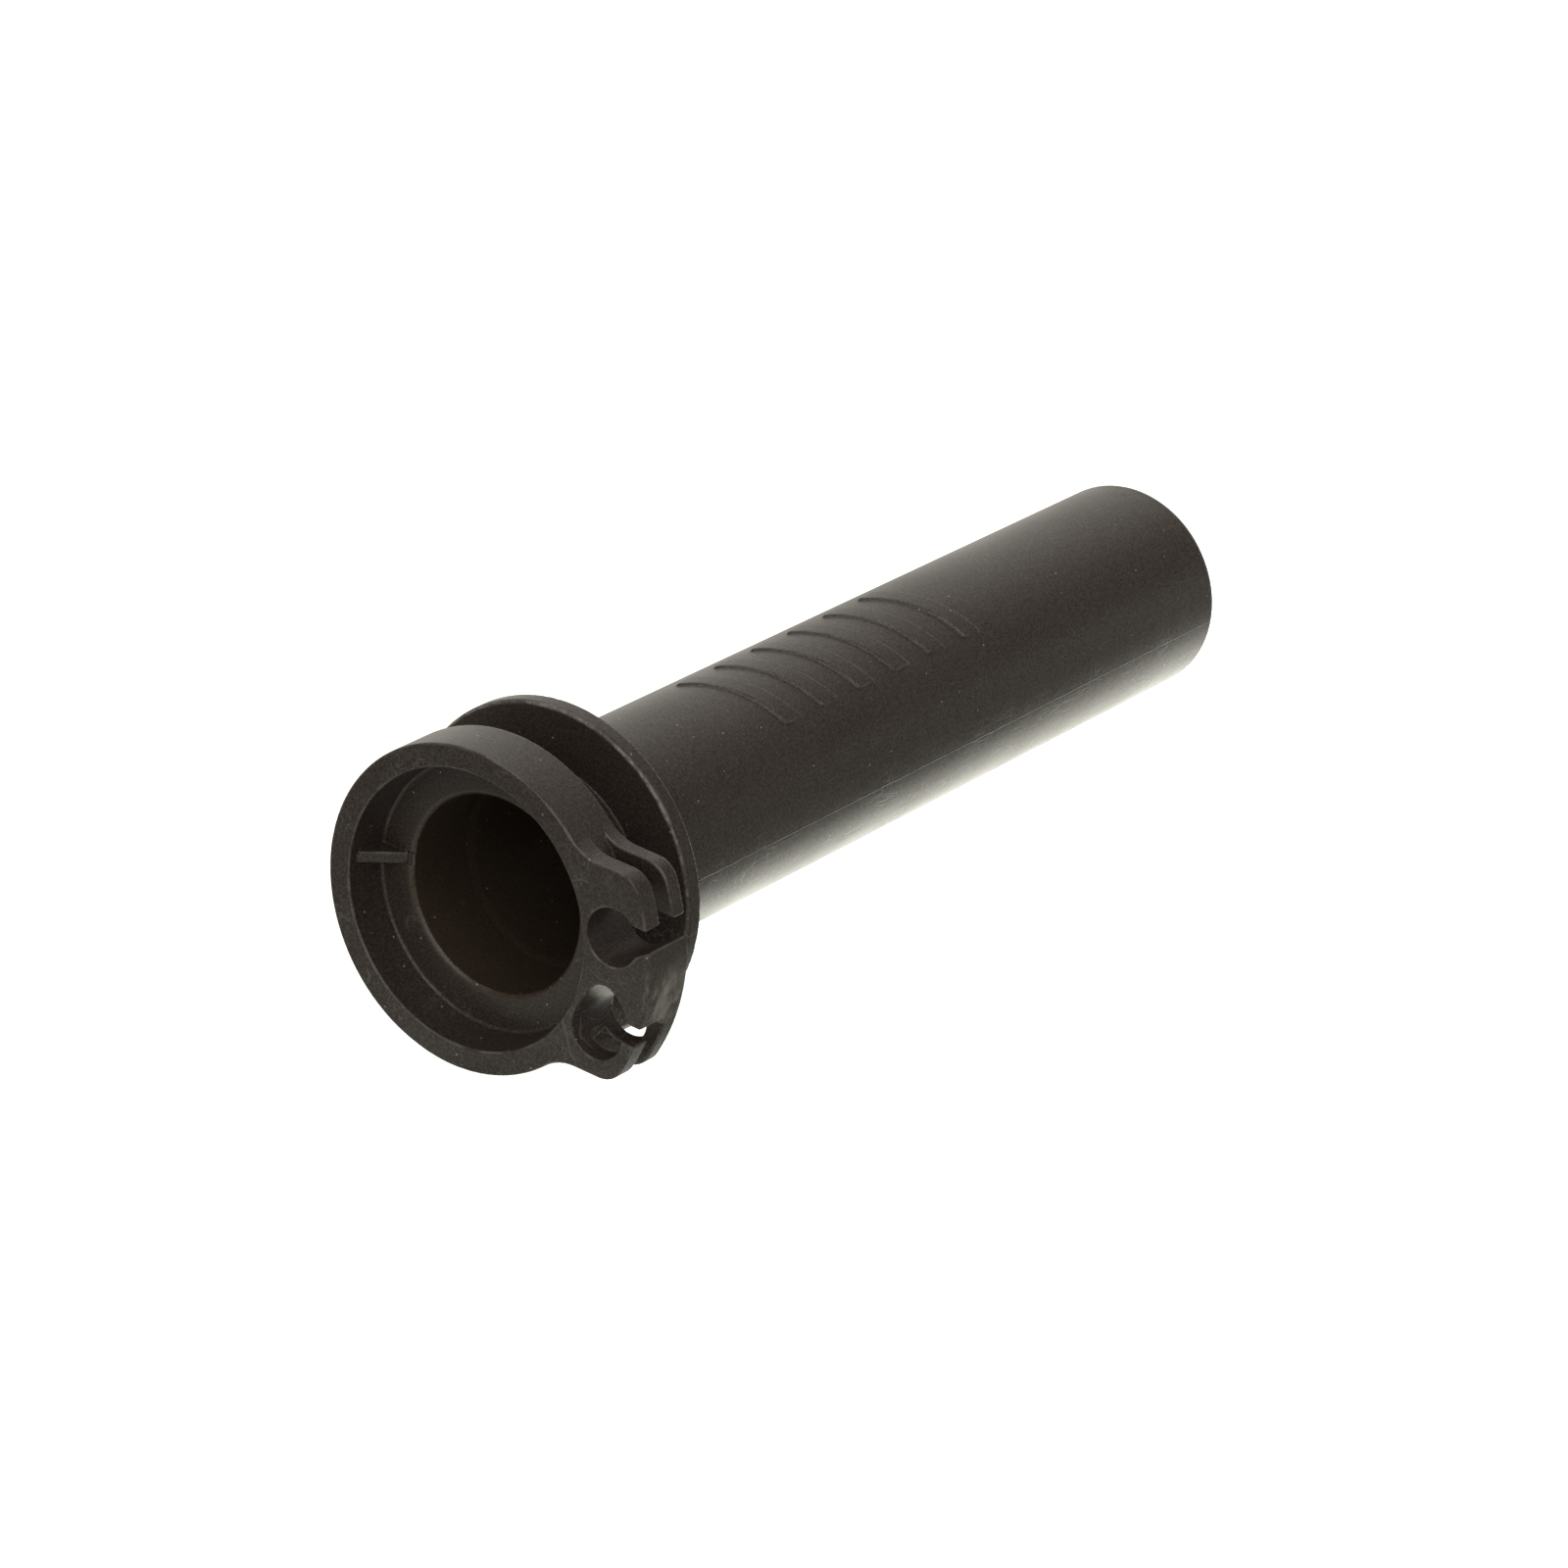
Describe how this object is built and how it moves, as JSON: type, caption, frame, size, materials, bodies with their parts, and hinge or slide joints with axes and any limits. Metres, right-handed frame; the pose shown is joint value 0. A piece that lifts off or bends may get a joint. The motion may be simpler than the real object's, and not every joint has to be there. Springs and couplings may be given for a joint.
{
  "type": "throttle tube",
  "caption": "Bare plastic twist-throttle tube: a long sleeve with a guide flange and a recessed cable reel with slotted seats for the cable ends.",
  "frame": {"origin": "on the tube's axis, 52.7 mm behind the reel's front face, which is the centre of mass to within half a millimetre", "axes": "+Y along the tube's axis from the reel to the outer end; +X from the axis through the middle of the cable ears; +Z completes the right-handed frame"},
  "size_m": [0.0444, 0.13, 0.0388],
  "materials": {
    "black_plastic": "matte, fine grain, lightly scuffed"
  },
  "bodies": {
    "root": {"throttle_tube": "black_plastic"}
  },
  "joints": []
}
